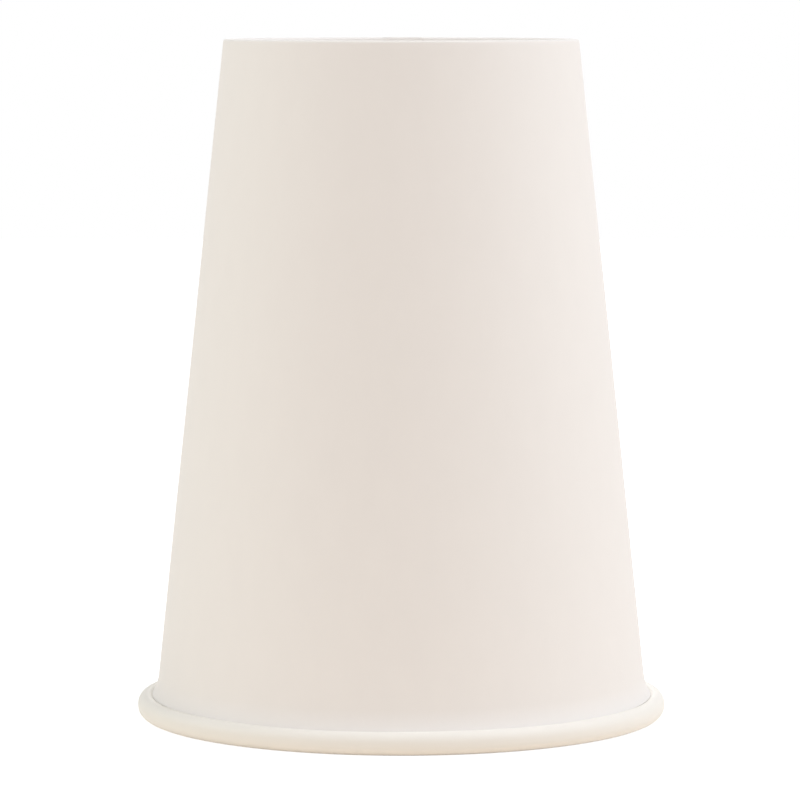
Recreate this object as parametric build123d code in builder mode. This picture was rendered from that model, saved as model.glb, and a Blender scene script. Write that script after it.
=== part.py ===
from build123d import *
from math import asin, atan2, cos, degrees, hypot, sin, tan
import os

# A single-wall paper cup for hot drinks, upside down on its rolled rim.
#
# The cup is made of two pieces of board, as the real one is. The side wall is one flat
# blank, wrapped into a cone and lapped along a seam. Its wide edge is rolled outwards into
# the rim, and its narrow edge is folded in over the skirt of the bottom disc, which it holds.
#
# Millimetres, +Z up. The origin is the middle of the circle that the rolled rim stands on,
# the foot of the cup is uppermost, and the lapped seam is on the +Y side.

# Size of the cup
rim_diameter = 90.0  # over the rolled rim, where a lid clips on
foot_diameter = 60.0  # where the wall's outer face meets the foot plane
cup_height = 115.0  # from the lowest point of the rim to the foot plane

# Board
wall_board = 0.40  # thickness of the side wall's board
disc_board = 0.32  # thickness of the bottom disc's board
seal = 0.02  # clearance at each sealed face, taken up by the coating

# Rolled rim
roll_hollow = 2.05  # clear width of the space that the roll wraps round
roll_gap = 0.15  # clearance between the wall and the turn of board behind it
roll_land = 0.7  # straight stretch between the roll's bends
tuck_angle = 130.0  # how far the board's edge is curled on inside the roll

# Foot
hem_height = 5.5  # how far the wall's narrow edge is folded in
hem_crease = 0.08  # inside radius of the two creases of that fold
skirt_relief = 0.10  # from the edge of the disc's skirt to the fold above it
skirt_reveal = 0.6  # straight skirt left bare below the hem
disc_bend = 0.9  # inside radius where the skirt turns into the disc
disc_crown = 0.6  # how far the middle of the disc is bowed into the cup

# Lapped seam
lap_width = 7.0  # width of the double board
lap_climb = 1.2  # width over which the upper board climbs the lower one
lap_bite = 0.20  # how far the upper board is let into the board it is sealed to

# The roll's bends, each tighter than the one before it, measured to the board's middle
roll_width = 3 * wall_board + roll_gap + roll_hollow
rim_bend = (roll_width - wall_board) / 2
tuck_bend = rim_bend - wall_board - roll_gap
return_bend = (rim_bend + tuck_bend) / 2
roll_x = rim_diameter / 2 - roll_width / 2
roll_z = roll_width / 2

# The wall's lean from upright, so that it leaves the foot's edge and meets the rim's bend
foot_radius = foot_diameter / 2
bend_inside = rim_bend - wall_board / 2
run = roll_x - foot_radius
rise = cup_height - roll_z
lean = atan2(run, rise) - asin(bend_inside / hypot(run, rise))

# Layers at the foot, as depths square to the wall's outer face
wall_middle = wall_board / 2
skirt_middle = wall_board + seal + disc_board / 2
hem_middle = wall_board + seal + disc_board + seal + wall_board / 2
hem_face = hem_middle + wall_board / 2

# The fold over the skirt, whose creases leave a narrow flat between them
fold_room = disc_board + 2 * seal
crease_share = 0.45  # most of that room that one crease may take up
crease = min(hem_crease, crease_share * fold_room) + wall_board / 2
fold_round = crease + wall_board / 2
fold_z = cup_height - wall_board / 2
hem_z = cup_height - hem_height

# The disc, level with the end of its bend, and the top of its skirt
disc_z = hem_z - skirt_reveal - disc_bend - disc_board / 2
skirt_z = cup_height - wall_board - skirt_relief


def cone(z, depth):
    """Radius at height z of the cone that lies this deep below the wall's outer face."""
    return foot_radius + (cup_height - z) * tan(lean) - depth / cos(lean)


def on_circle(radius, x):
    """Point with this X on a circle about the axis, on the +Y side."""
    return (x, (radius**2 - x**2) ** 0.5)


def arc_about_axis(radius, x_from, x_to):
    """Arc about the axis between two values of X, on the +Y side."""
    x_middle = (x_from + x_to) / 2
    return ThreePointArc(
        on_circle(radius, x_from), on_circle(radius, x_middle), on_circle(radius, x_to)
    )


def lap_plan(z, face, outward):
    """Plan at height z of the upper board of the lap, on a face of this radius.

    outward is 1 where the board stands on the outside of that face and -1 on the inside.
    The board climbs on to the face at its -X end, and its cut edge is at the +X end.
    """
    x_start = -lap_width / 2
    x_end = lap_width / 2
    with BuildSketch(Plane.XY.offset(z)) as plan:
        with BuildLine():
            sealed = arc_about_axis(face - outward * lap_bite, x_start, x_end)
            shown = arc_about_axis(face + outward * wall_board, x_start + lap_climb, x_end)
            Polyline(sealed @ 0, on_circle(face, x_start), shown @ 0)
            Line(sealed @ 1, shown @ 1)
        make_face()
    return plan.sketch


def crevice_plan(z):
    """Plan at height z of the crevice between the climbing board and the lower one's edge."""
    inner_face = cone(z, wall_board)
    x_start = -lap_width / 2
    x_edge = x_start + lap_climb
    with BuildSketch(Plane.XY.offset(z)) as plan:
        with BuildLine():
            Polyline(
                on_circle(inner_face - lap_bite, x_start),
                on_circle(inner_face, x_start),
                on_circle(inner_face + wall_board, x_edge),
                on_circle(inner_face - lap_bite, x_edge),
                close=True,
            )
        make_face()
    return plan.sketch


# Side wall
with BuildPart() as side_wall:
    # Board from the hem's edge, round the fold, down the wall and round the rolled rim
    with BuildSketch(Plane.XZ):
        with BuildLine():
            wall = FilletPolyline(
                (cone(hem_z, hem_middle), hem_z),
                (cone(fold_z, hem_middle), fold_z),
                (cone(fold_z, wall_middle), fold_z),
                (roll_x - rim_bend * cos(lean), roll_z - rim_bend * sin(lean)),
                radius=crease,
            )
            rim = JernArc(wall @ 1, wall % 1, rim_bend, 180 - degrees(lean))
            outside = Line(rim @ 1, rim @ 1 + (0, roll_land))
            top = JernArc(outside @ 1, outside % 1, return_bend, 180)
            behind = Line(top @ 1, top @ 1 - (0, roll_land))
            JernArc(behind @ 1, behind % 1, tuck_bend, tuck_angle)
        trace(line_width=wall_board)
    revolve(axis=Axis.Z)

    # Lap on the wall's outer face, from inside the groove over the roll up to the foot
    round_z = cup_height - fold_round
    groove_z = roll_z + roll_land
    outer = [lap_plan(z, cone(z, 0), 1) for z in (groove_z, round_z)]
    loft(outer + [lap_plan(cup_height, foot_radius - fold_round, 1)], ruled=True)

    # Lap on the hem, where the same cut edge comes over the fold
    inner = [lap_plan(z, cone(z, hem_face), -1) for z in (hem_z, round_z)]
    hem_top = cone(cup_height, hem_face) + fold_round
    loft(inner + [lap_plan(cup_height, hem_top, -1)], ruled=True)

    # Crevice along the lower board's edge, inside the cup
    loft([crevice_plan(z) for z in (roll_z, fold_z - crease)], mode=Mode.SUBTRACT)
side_wall.part.label = "side_wall"

# Bottom disc, with its skirt turned up between the wall and the hem
with BuildPart() as bottom_disc:
    with BuildSketch(Plane.XZ):
        with BuildLine() as middle:
            disc = TangentArc(
                (0, disc_z - disc_crown), (cone(disc_z, skirt_middle), disc_z), tangent=(1, 0)
            )
            Line(disc @ 1, (cone(skirt_z, skirt_middle), skirt_z))
            corner = middle.vertices().sort_by_distance(disc @ 1)[0]
            fillet(corner, disc_bend + disc_board / 2)
        trace(line_width=disc_board)
    revolve(axis=Axis.Z)
bottom_disc.part.label = "bottom_disc"

os.makedirs("parts", exist_ok=True)
export_step(side_wall.part, "parts/side_wall.step")
export_step(bottom_disc.part, "parts/bottom_disc.step")
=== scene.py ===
from math import asin, atan2, cos, hypot, pi, radians, sin, tan

import bmesh
import bpy
import numpy as np
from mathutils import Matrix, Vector, noise


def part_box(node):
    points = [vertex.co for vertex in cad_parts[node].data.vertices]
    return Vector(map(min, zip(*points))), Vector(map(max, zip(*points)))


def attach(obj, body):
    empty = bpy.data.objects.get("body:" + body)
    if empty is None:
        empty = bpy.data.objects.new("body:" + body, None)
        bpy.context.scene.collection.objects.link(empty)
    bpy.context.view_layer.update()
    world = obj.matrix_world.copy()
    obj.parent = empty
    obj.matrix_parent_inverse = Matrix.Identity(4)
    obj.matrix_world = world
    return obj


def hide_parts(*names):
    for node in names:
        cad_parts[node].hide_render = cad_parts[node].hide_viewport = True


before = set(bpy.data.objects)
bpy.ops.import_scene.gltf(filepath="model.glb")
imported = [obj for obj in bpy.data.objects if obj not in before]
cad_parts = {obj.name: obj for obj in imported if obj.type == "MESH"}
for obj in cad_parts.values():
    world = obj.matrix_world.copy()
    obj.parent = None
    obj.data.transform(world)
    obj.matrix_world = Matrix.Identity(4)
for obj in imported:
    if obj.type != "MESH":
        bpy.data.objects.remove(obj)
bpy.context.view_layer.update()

# A paper cup for hot drinks, upside down on its rolled rim. The side wall and the bottom disc
# replace their solids, with nearly the same sections and what forming and handling leave.

MM = 0.001

# Size of the cup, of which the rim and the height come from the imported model
rim_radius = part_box("side_wall")[1][0]
cup_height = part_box("side_wall")[1][2]
foot_radius = 30.0 * MM  # of the wall's outer face where it meets the foot plane

# Board
wall_board = 0.40 * MM
disc_board = 0.32 * MM
seal = 0.02 * MM  # between the sealed layers at the foot

# Rolled rim
roll_hollow = 2.05 * MM
roll_gap = 0.15 * MM
roll_land = 0.425 * MM  # straight stretch on its outer side, shorter than in the solid
tuck_angle = radians(130)

# Foot
hem_height = 5.5 * MM
crease = 0.08 * MM + wall_board / 2
skirt_relief = 0.10 * MM
skirt_reveal = 0.6 * MM
disc_bend = 0.9 * MM + disc_board / 2
disc_crown = 0.6 * MM

# Lapped seam
lap_width = 7.0 * MM
lap_climb = 1.2 * MM
lap_raggedness = 0.05 * MM  # how far the knife's edge wanders from a straight line
lap_noise_place = (7.0, 3.0)
lap_noise_step = 1.7  # of the noise from one station of the section to the next
lap_fade = 3  # the outer face's step is gone in the first of this many parts of the rim's bend
lap_pressing = 0.35  # share of the inner face's step that is left in the roll

# Handling and forming marks, which the solids leave out
throat_height = 3.6 * MM  # stretch over the roll's groove where the wall's face turns out
throat_depth = 0.30 * MM  # of that stretch's lower end, below the top of the roll
throat_flare = 0.82 * MM
throat_return = 0.6 * MM  # below that stretch, over which the face comes back in line
knurl_count = 120  # upright ribs that the closing tool leaves in the hem
knurl_depth = 0.05 * MM
knurl_fade = 1.6 * MM  # below the fold, over which the ribs rise to their full depth
pucker_depth = 0.05 * MM  # of the gathers where the disc turns into its skirt
pucker_start = 0.82  # share of the foot's radius where the gathers begin
pucker_rise = 0.12  # share of it over which they rise to their full depth
pucker_noise_radius = 9.0  # of the circle in the noise that they follow
pucker_noise_level = 4.0
lap_bulge = 0.20 * MM  # how far the double board pushes the roll out at the seam

# Waves round the cup, each given as its number of crests, phase and share
wall_wave = 0.10 * MM  # how far the wall is from a true cone
mouth_waves = [(2, 0.7, 0.6), (3, 2.1, 0.3)]
mouth_fade = 1.5  # power by which they die away towards the foot
middle_crests = 5
middle_twist = 9  # phase that these waves gain from the mouth to the foot
middle_share = 0.25
rim_wave = 0.06 * MM  # how far the roll's thickness varies
rim_waves = [(4, 1, 0.5), (7, 4, 0.5)]
rim_rest = 0.2  # share of the roll's width, up from the floor, that stays level

# Mesh
climb_columns = 7  # across the lap's climb
double_columns = 7  # across its double board
columns_per_rib = 5
disc_columns = 360
heel_height = 3.2 * MM  # stretch below the fold where the rings are close together
merge_distance = 0.0001 * MM
sharp_angle = radians(40)
OUTSIDE, INSIDE, CUT_EDGE = range(3)  # places of the materials in a piece's list

# Grain of the board
formation_scale = 260  # clouds to the metre
formation_stretch = 0.45
formation_detail = 3
fibre_scale = 2600
fibre_stretch = 0.25
fibre_detail = 4
fibre_strength = 0.6
cockle_height = 4  # times the fibres' height
cockle_strength = 0.5
roughness_spread = 0.06  # that the fibres add to the roughness or take from it

# Floor
floor_half_size = 1.5
floor_bounce = (0.95, 0.84, 0.72)  # its colour where it lights the cup
floor_underlight = (0.087, 0.087, 0.09)  # what it gives off, as a light table does
floor_shade = (0.45, 0.45, 0.45)  # its colour where it is seen, on which the shadow falls
floor_glow = 0.86  # brightness that is left in that shadow, where 1 is white

# Sizes that follow
roll_width = 3 * wall_board + roll_gap + roll_hollow
rim_bend = (roll_width - wall_board) / 2
tuck_bend = rim_bend - wall_board - roll_gap
roll_x = rim_radius - roll_width / 2
roll_z = roll_width / 2
roll_top = roll_z + roll_land + rim_bend + wall_board / 2
throat_z = roll_top - throat_depth
run = roll_x - foot_radius
rise = cup_height - roll_z
lean = atan2(run, rise) - asin((rim_bend - wall_board / 2) / hypot(run, rise))
wall_middle = wall_board / 2
skirt_middle = wall_board + seal + disc_board / 2
hem_middle = wall_board + seal + disc_board + seal + wall_board / 2
fold_z = cup_height - wall_board / 2
hem_z = cup_height - hem_height
disc_z = hem_z - skirt_reveal - disc_bend
skirt_z = cup_height - wall_board - skirt_relief


def cone(z, depth):
    """Radius at height z of the cone that lies this deep below the wall's outer face."""
    return foot_radius + (cup_height - z) * tan(lean) - depth / cos(lean)


def ease(value):
    """Smooth step from 0 to 1 as the value goes from 0 to 1, for numbers and arrays."""
    t = np.clip(value, 0.0, 1.0)
    return t * t * (3 - 2 * t)


def waves(parts, angle):
    """Sum at these angles of waves round the cup, given as crests, phase and share."""
    return sum(share * np.cos(crests * angle + phase) for crests, phase, share in parts)


# Sections

def walk(start, heading, moves):
    """Stations along straights and bends, as arrays of radius, height, heading and stretch.

    Each move is (stretch, radius, amount, steps). A radius of 0 is a straight of that length,
    and any other is a bend through that angle, to the left where the angle is positive.
    """
    x, z = start
    stations = [(x, z, heading, moves[0][0])]
    for stretch, radius, amount, steps in moves:
        for _ in range(steps):
            if radius:
                turn = amount / steps
                side = radius if turn > 0 else -radius
                x -= side * sin(heading)
                z += side * cos(heading)
                heading += turn
                x += side * sin(heading)
                z -= side * cos(heading)
            else:
                x += amount / steps * cos(heading)
                z += amount / steps * sin(heading)
            stations.append((x, z, heading, stretch))
    return [np.array(column) for column in zip(*stations)]


def wall_section():
    """The side wall's middle line, from the hem's edge round to the edge tucked in the roll."""
    hem_top = (cone(fold_z, hem_middle), fold_z)
    hem_edge = (cone(hem_z, hem_middle), hem_z)
    wall_top = (cone(fold_z, wall_middle), fold_z)
    wall_end = (roll_x - rim_bend * cos(lean), roll_z - rim_bend * sin(lean))
    inner_cut = crease * tan((pi / 2 + lean) / 2)
    outer_cut = crease * tan((pi / 2 - lean) / 2)
    hem_length = hypot(hem_top[0] - hem_edge[0], hem_top[1] - hem_edge[1]) - inner_cut
    flat_length = wall_top[0] - hem_top[0] - inner_cut - outer_cut
    wall_length = hypot(wall_end[0] - wall_top[0], wall_end[1] - wall_top[1]) - outer_cut
    heel_length = heel_height - outer_cut
    throat_length = throat_height / cos(lean)
    hidden_length = (throat_z - wall_end[1]) / cos(lean)
    return walk(hem_edge, pi / 2 + lean, [
        ("hem", 0, hem_length, 6),
        ("fold", crease, -(pi / 2 + lean), 5),
        ("fold", 0, flat_length, 1),
        ("fold", crease, -(pi / 2 - lean), 5),
        ("wall", 0, heel_length, 4),
        ("wall", 0, wall_length - heel_length - throat_length - hidden_length, 10),
        ("wall", 0, throat_length, 9),
        ("wall", 0, hidden_length, 3),
        ("rim", rim_bend, pi - lean, 14),
        ("roll", 0, roll_land, 2),
        ("roll", rim_bend, pi / 2, 8),
        ("roll", tuck_bend, pi / 2, 5),
        ("tuck", 0, roll_land + rim_bend - tuck_bend, 1),
        ("tuck", tuck_bend, tuck_angle, 6),
    ])


def disc_section():
    """The bottom disc's middle line, from the axis out to its bend and up the skirt."""
    bend_cut = disc_bend * tan((pi / 2 + lean) / 2)
    reach = cone(disc_z, skirt_middle) - bend_cut
    crown_radius = (reach ** 2 + disc_crown ** 2) / (2 * disc_crown)
    rise_angle = 2 * atan2(disc_crown, reach)
    skirt_length = (skirt_z - disc_z) / cos(lean) - bend_cut
    return walk((0, disc_z - disc_crown), 0, [
        ("disc", crown_radius, rise_angle, 14),
        ("bend", disc_bend, pi / 2 + lean - rise_angle, 7),
        ("skirt", 0, skirt_length, 5),
    ])


# Points of the side wall

def seam_columns():
    """Columns across the lap, as rows of place, lift of the outer face and of the inner face."""
    start = -lap_width / 2
    edge = start + lap_climb
    end = lap_width / 2
    climb = [(start + lap_climb * t, wall_board * ease(t), wall_board * ease(t))
             for t in np.linspace(0, 1, climb_columns)]
    double = [(x, wall_board, 0.0) for x in np.linspace(edge, end, double_columns)]
    return np.array(climb + double + [(end, 0.0, 0.0)])


def wall_columns():
    """Columns round the side wall, first across the lap and then on round to its start.

    They are arrays of place across the lap, share of the way on round the cup, lift of the
    outer face and lift of the inner face.
    """
    seam = seam_columns()
    plain_columns = columns_per_rib * knurl_count
    plain = np.arange(1, plain_columns) / plain_columns
    none = np.zeros(len(plain))
    across = np.append(seam[:, 0], np.full(len(plain), lap_width / 2))
    share = np.append(np.zeros(len(seam)), plain)
    return across, share, np.append(seam[:, 1], none), np.append(seam[:, 2], none)


def lap_shares(stretch):
    """Shares of the lap's lift that show on the outer and on the inner face at each station."""
    on_rim = stretch == "rim"
    outer = np.where(np.isin(stretch, ["roll", "tuck"]), 0.0, 1.0)
    outer[on_rim] = 1 - ease(np.linspace(0, lap_fade, on_rim.sum()))
    inner = np.where(np.isin(stretch, ["rim", "roll", "tuck"]), lap_pressing, 1.0)
    return outer, inner


def ring_angles(station, r, across, share):
    """Angles of a ring's columns from the middle of the seam.

    The lap keeps its width in every ring, and its double board wanders with the knife's edge.
    The columns beside the lap share out the rest of the ring.
    """
    on_double = (np.arange(len(across)) >= climb_columns) & (share == 0)
    place = Vector((*lap_noise_place, lap_noise_step * station))
    wander = lap_raggedness * noise.noise(place) * on_double
    half = asin(lap_width / 2 / r)
    return np.arcsin((across + wander) / r) + share * (2 * pi - 2 * half)


def formed(r, z, angle, stretch):
    """Where forming and handling leave a ring of the section, as arrays of radius and height."""
    up = z / cup_height
    middle_waves = [(middle_crests, middle_twist * up, middle_share)]
    wave = waves(mouth_waves, angle) * (1 - up) ** mouth_fade
    wave = wave + waves(middle_waves, angle) * sin(pi * up)
    ring_r = r + wall_wave * wave
    ring_z = np.full_like(ring_r, z)
    if stretch in ("rim", "roll", "tuck"):
        from_seam = np.minimum(angle, 2 * pi - angle) * r
        bulge = lap_bulge * ease(1 - np.abs(from_seam) / lap_width)
        uneven = rim_wave * waves(rim_waves, angle)
        ring_r = ring_r + (bulge + uneven) * ease((r - roll_x) / rim_bend)
        ring_z = ring_z + uneven * ease(z / roll_width - rim_rest)
    return ring_r, ring_z


def turned_out(z):
    """Share of the throat's flare at height z of the wall's outer face."""
    near = 1 - (z - throat_z) / throat_height
    return np.clip(near, 0, 1) ** 2 * ease(1 - (throat_z - z) / throat_return)


def outer_marks(z, angle, stretch):
    """How far the outer face stands out over the roll's groove and at the hem's ribs."""
    if stretch == "wall":
        return throat_flare * turned_out(z)
    if stretch == "hem":
        return knurl_depth * ease((fold_z - z) / knurl_fade) * np.cos(knurl_count * angle)
    return 0.0


def wall_points():
    """Points of the side wall as an array of columns round the cup by rows round the section."""
    radius, height, heading, stretch = wall_section()
    across, share, lift_out, lift_in = wall_columns()
    shown_out, shown_in = lap_shares(stretch)
    stations = len(radius)
    points = np.zeros((len(across), 2 * stations, 3))
    for i in range(stations):
        angle = ring_angles(i, radius[i], across, share)
        middle_r, middle_z = formed(radius[i], height[i], angle, stretch[i])
        marks = outer_marks(height[i], angle, stretch[i])
        outer = wall_board / 2 + lift_out * shown_out[i] + marks
        inner = -wall_board / 2 + lift_in * shown_in[i]
        for row, depth in ((i, outer), (2 * stations - 1 - i, inner)):
            ring_r = middle_r - sin(heading[i]) * depth
            points[:, row, 0] = ring_r * np.sin(angle)
            points[:, row, 1] = ring_r * np.cos(angle)
            points[:, row, 2] = np.minimum(middle_z + cos(heading[i]) * depth, cup_height)
    return points


# Points and faces of the bottom disc

def disc_points():
    """Points of the bottom disc, and the number of rings that each of its faces has.

    The middles of the outer face and of the inner face come first, then the rings of each.
    """
    radius, height, heading, stretch = disc_section()
    angle = np.arange(disc_columns) * 2 * pi / disc_columns
    gathers = np.array([
        noise.noise(Vector((pucker_noise_radius * cos(a), pucker_noise_radius * sin(a),
                            pucker_noise_level)))
        for a in angle
    ])
    points = [(0, 0, height[0] + disc_board / 2), (0, 0, height[0] - disc_board / 2)]
    for side in (1, -1):
        for i in range(1, len(radius)):
            rising = float(ease((radius[i] / foot_radius - pucker_start) / pucker_rise))
            pucker = pucker_depth * gathers * rising * (stretch[i] != "skirt")
            depth = side * disc_board / 2 + pucker
            ring_r = radius[i] - sin(heading[i]) * depth
            ring_z = height[i] + cos(heading[i]) * depth
            points.extend(zip(ring_r * np.sin(angle), ring_r * np.cos(angle), ring_z))
    return points, len(radius) - 1


def disc_faces(rings):
    """Faces of the bottom disc, and the place of each face's material."""
    last = rings - 1

    def at(side, ring, column):
        """Index of a ring's point, after the two middles."""
        return 2 + (side * rings + ring) * disc_columns + column % disc_columns

    faces = []
    material_of_face = []
    for j in range(disc_columns):
        for middle, side in enumerate((OUTSIDE, INSIDE)):
            faces.append((middle, at(side, 0, j), at(side, 0, j + 1)))
            for i in range(last):
                faces.append((at(side, i, j), at(side, i + 1, j),
                              at(side, i + 1, j + 1), at(side, i, j + 1)))
            material_of_face.extend([side] * rings)
        faces.append((at(OUTSIDE, last, j), at(INSIDE, last, j),
                      at(INSIDE, last, j + 1), at(OUTSIDE, last, j + 1)))
        material_of_face.append(OUTSIDE)
    return faces, material_of_face


# Pieces

def new_piece(name, points, faces, materials, material_of_face):
    """A smooth-shaded object of these points, in metres, that rides on the cup's one body."""
    mesh = bpy.data.meshes.new(name)
    mesh.from_pydata([tuple(p) for p in points], [], faces)
    for material in materials:
        mesh.materials.append(material)
    mesh.polygons.foreach_set("material_index", material_of_face)
    mesh.polygons.foreach_set("use_smooth", [True] * len(faces))
    shape = bmesh.new()
    shape.from_mesh(mesh)
    bmesh.ops.remove_doubles(shape, verts=shape.verts, dist=merge_distance)
    bmesh.ops.recalc_face_normals(shape, faces=shape.faces)
    shape.to_mesh(mesh)
    shape.free()
    mesh.set_sharp_from_angle(angle=sharp_angle)
    piece = bpy.data.objects.new(name, mesh)
    bpy.context.scene.collection.objects.link(piece)
    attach(piece, "root")
    return piece


def build_side_wall(outside, inside, cut_edge):
    points = wall_points()
    columns, rows, _ = points.shape
    stations = rows // 2
    cut_columns = (climb_columns - 1, climb_columns + double_columns - 1)
    cut_rows = (stations - 1, rows - 1)
    faces = []
    material_of_face = []
    for j in range(columns):
        k = (j + 1) % columns
        for i in range(rows):
            n = (i + 1) % rows
            faces.append((j * rows + i, k * rows + i, k * rows + n, j * rows + n))
            if j in cut_columns or i in cut_rows:
                material_of_face.append(CUT_EDGE)
            else:
                material_of_face.append(INSIDE if i >= stations else OUTSIDE)
    piece = new_piece("cup_side_wall", points.reshape(-1, 3), faces,
                      [outside, inside, cut_edge], material_of_face)
    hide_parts("side_wall")


def build_bottom_disc(outside, inside):
    points, rings = disc_points()
    faces, material_of_face = disc_faces(rings)
    piece = new_piece("cup_bottom_disc", points, faces, [outside, inside], material_of_face)
    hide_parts("bottom_disc")


# Materials

def cloud(tree, place, scale, stretch, detail):
    """Noise at a place in the object's own frame, drawn out along the cup by 1 / stretch."""
    mapping = tree.nodes.new("ShaderNodeMapping")
    mapping.inputs["Scale"].default_value = (1, 1, stretch)
    tree.links.new(place, mapping.inputs["Vector"])
    texture = tree.nodes.new("ShaderNodeTexNoise")
    texture.inputs["Scale"].default_value = scale
    texture.inputs["Detail"].default_value = detail
    tree.links.new(mapping.outputs["Vector"], texture.inputs["Vector"])
    return texture.outputs["Fac"]


def bump(tree, height, distance, strength):
    """A bump node that follows a texture."""
    node = tree.nodes.new("ShaderNodeBump")
    node.inputs["Distance"].default_value = distance
    node.inputs["Strength"].default_value = strength
    tree.links.new(height, node.inputs["Height"])
    return node


def paper(name, colour, roughness, gloss, fibre_height, mottle):
    """Board with a cloudy formation, upright fibres, and roughness and bump that follow them."""
    material = bpy.data.materials.new(name)
    material.use_nodes = True
    tree = material.node_tree
    nodes = tree.nodes
    links = tree.links
    shader = nodes["Principled BSDF"]
    shader.inputs["Specular IOR Level"].default_value = gloss
    place = nodes.new("ShaderNodeTexCoord").outputs["Object"]
    formation = cloud(tree, place, formation_scale, formation_stretch, formation_detail)
    fibres = cloud(tree, place, fibre_scale, fibre_stretch, fibre_detail)

    tint = nodes.new("ShaderNodeMix")
    tint.data_type = "RGBA"
    dark = [c * (1 - mottle) for c in colour]
    light = [min(c * (1 + mottle), 1.0) for c in colour]
    tint.inputs["A"].default_value = (*dark, 1)
    tint.inputs["B"].default_value = (*light, 1)
    links.new(formation, tint.inputs["Factor"])
    links.new(tint.outputs["Result"], shader.inputs["Base Color"])

    spread = nodes.new("ShaderNodeMapRange")
    spread.inputs["To Min"].default_value = roughness - roughness_spread
    spread.inputs["To Max"].default_value = roughness + roughness_spread
    links.new(fibres, spread.inputs["Value"])
    links.new(spread.outputs["Result"], shader.inputs["Roughness"])

    relief = bump(tree, fibres, fibre_height, fibre_strength)
    cockle = bump(tree, formation, cockle_height * fibre_height, cockle_strength)
    links.new(relief.outputs["Normal"], cockle.inputs["Normal"])
    links.new(cockle.outputs["Normal"], shader.inputs["Normal"])
    return material


# Floor, light and camera

def coloured(tree, kind, colour, strength=None):
    """Output of a new shader of one colour, and of this strength where it gives light."""
    node = tree.nodes.new(kind)
    node.inputs["Color"].default_value = (*colour, 1)
    if strength is not None:
        node.inputs["Strength"].default_value = strength
    return node.outputs[0]


def added(tree, first, second):
    """Output of two shaders added together."""
    node = tree.nodes.new("ShaderNodeAddShader")
    tree.links.new(first, node.inputs[0])
    tree.links.new(second, node.inputs[1])
    return node.outputs["Shader"]


def background_rays(tree):
    """1 for rays that show the background: from the camera, off gloss and through glass."""
    rays = tree.nodes.new("ShaderNodeLightPath")
    most = rays.outputs["Is Camera Ray"]
    for kind in ("Is Glossy Ray", "Is Transmission Ray"):
        either = tree.nodes.new("ShaderNodeMath")
        either.operation = "MAXIMUM"
        tree.links.new(most, either.inputs[0])
        tree.links.new(rays.outputs[kind], either.inputs[1])
        most = either.outputs["Value"]
    return most


def set_surface(tree, output, lighting, shown):
    """Use one shader where the surface lights the cup, and another where it is seen."""
    mix = tree.nodes.new("ShaderNodeMixShader")
    tree.links.new(background_rays(tree), mix.inputs["Fac"])
    tree.links.new(lighting, mix.inputs[1])
    tree.links.new(shown, mix.inputs[2])
    tree.links.new(mix.outputs["Shader"], tree.nodes.new(output).inputs["Surface"])


def build_floor():
    """A white light table that keeps the cup's shadow."""
    half = floor_half_size
    mesh = bpy.data.meshes.new("floor")
    corners = [(-half, -half, 0), (half, -half, 0), (half, half, 0), (-half, half, 0)]
    mesh.from_pydata(corners, [], [(0, 1, 2, 3)])
    floor = bpy.data.objects.new("floor", mesh)
    bpy.context.scene.collection.objects.link(floor)
    material = bpy.data.materials.new("floor_white")
    material.use_nodes = True
    tree = material.node_tree
    tree.nodes.clear()
    bounce = coloured(tree, "ShaderNodeBsdfDiffuse", floor_bounce)
    underlight = coloured(tree, "ShaderNodeEmission", floor_underlight, 1.0)
    shade = coloured(tree, "ShaderNodeBsdfDiffuse", floor_shade)
    glow = coloured(tree, "ShaderNodeEmission", (1, 1, 1), floor_glow)
    lighting = added(tree, bounce, underlight)
    shown = added(tree, shade, glow)
    set_surface(tree, "ShaderNodeOutputMaterial", lighting, shown)
    mesh.materials.append(material)


def build_world(colour, strength):
    """Light all round of this colour and strength, which is seen as plain white."""
    world = bpy.data.worlds.new("studio")
    bpy.context.scene.world = world
    world.use_nodes = True
    tree = world.node_tree
    tree.nodes.clear()
    lighting = coloured(tree, "ShaderNodeBackground", colour, strength)
    shown = coloured(tree, "ShaderNodeBackground", (1, 1, 1), 1.0)
    set_surface(tree, "ShaderNodeOutputWorld", lighting, shown)


def softbox(name, azimuth, elevation, distance, size, colour, power):
    """A square area lamp aimed at the cup. Azimuth 0 is the camera's side and 90 is +X."""
    middle = Vector((0, 0, cup_height / 2))
    around = radians(azimuth)
    up = radians(elevation)
    way = Vector((sin(around) * cos(up), -cos(around) * cos(up), sin(up)))
    lamp = bpy.data.lights.new(name, "AREA")
    lamp.size = size
    lamp.energy = power
    lamp.color = colour
    holder = bpy.data.objects.new(name, lamp)
    holder.location = middle + way * distance
    holder.rotation_euler = (-way).to_track_quat("-Z", "Y").to_euler()
    bpy.context.scene.collection.objects.link(holder)


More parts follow.
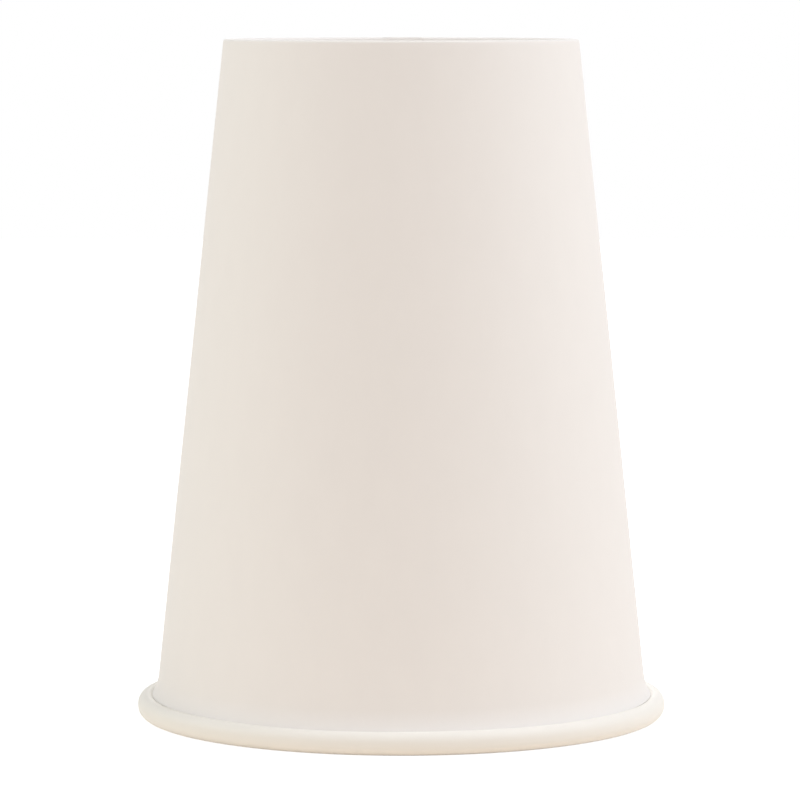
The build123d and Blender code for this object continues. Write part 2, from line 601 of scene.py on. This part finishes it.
def build_camera():
    """The photograph's camera, a little above the foot and looking slightly down."""
    eye = Vector((0, -758.5, 122.0)) * MM
    aim = Vector((-0.21, 0, 53.77)) * MM
    data = bpy.data.cameras.new("camera")
    data.sensor_width = 36.0
    data.lens = 201.5
    camera = bpy.data.objects.new("camera", data)
    camera.location = eye
    camera.rotation_euler = (aim - eye).to_track_quat("-Z", "Y").to_euler()
    bpy.context.scene.collection.objects.link(camera)
    bpy.context.scene.camera = camera


# The cup

wall_outside = paper("board_outside", colour=(0.85, 0.82, 0.79), roughness=0.66, gloss=0.5,
                     fibre_height=0.010 * MM, mottle=0.012)
wall_inside = paper("board_coated", colour=(0.86, 0.835, 0.78), roughness=0.50, gloss=0.25,
                    fibre_height=0.006 * MM, mottle=0.010)
wall_cut_edge = paper("board_cut_edge", colour=(0.80, 0.73, 0.65), roughness=0.85, gloss=0.3,
                      fibre_height=0.030 * MM, mottle=0.05)
disc_outside = paper("disc_outside", colour=(0.86, 0.83, 0.79), roughness=0.70, gloss=0.5,
                     fibre_height=0.012 * MM, mottle=0.015)
disc_inside = paper("disc_coated", colour=(0.86, 0.835, 0.78), roughness=0.50, gloss=0.25,
                    fibre_height=0.006 * MM, mottle=0.010)
build_side_wall(wall_outside, wall_inside, wall_cut_edge)
build_bottom_disc(disc_outside, disc_inside)

# Its stage

build_floor()
build_world(colour=(1.0, 1.0, 1.0), strength=0.35)
softbox("light_right", azimuth=95, elevation=12, distance=1.2, size=0.9,
        colour=(0.82, 0.90, 1.0), power=3.7)
softbox("light_left", azimuth=-95, elevation=12, distance=1.2, size=0.9,
        colour=(0.87, 1.0, 0.96), power=3.45)
softbox("light_front_left", azimuth=-50, elevation=25, distance=1.3, size=0.9,
        colour=(1.0, 0.93, 0.91), power=3.15)
softbox("light_high_right", azimuth=70, elevation=60, distance=1.3, size=0.9,
        colour=(0.97, 0.97, 1.0), power=7.9)
softbox("light_top", azimuth=0, elevation=85, distance=1.3, size=0.9,
        colour=(1.0, 0.98, 0.99), power=2.8)
softbox("light_back", azimuth=180, elevation=20, distance=1.8, size=0.4,
        colour=(1.0, 1.0, 1.0), power=2.0)
build_camera()

scene = bpy.context.scene
scene.view_settings.view_transform = "Standard"
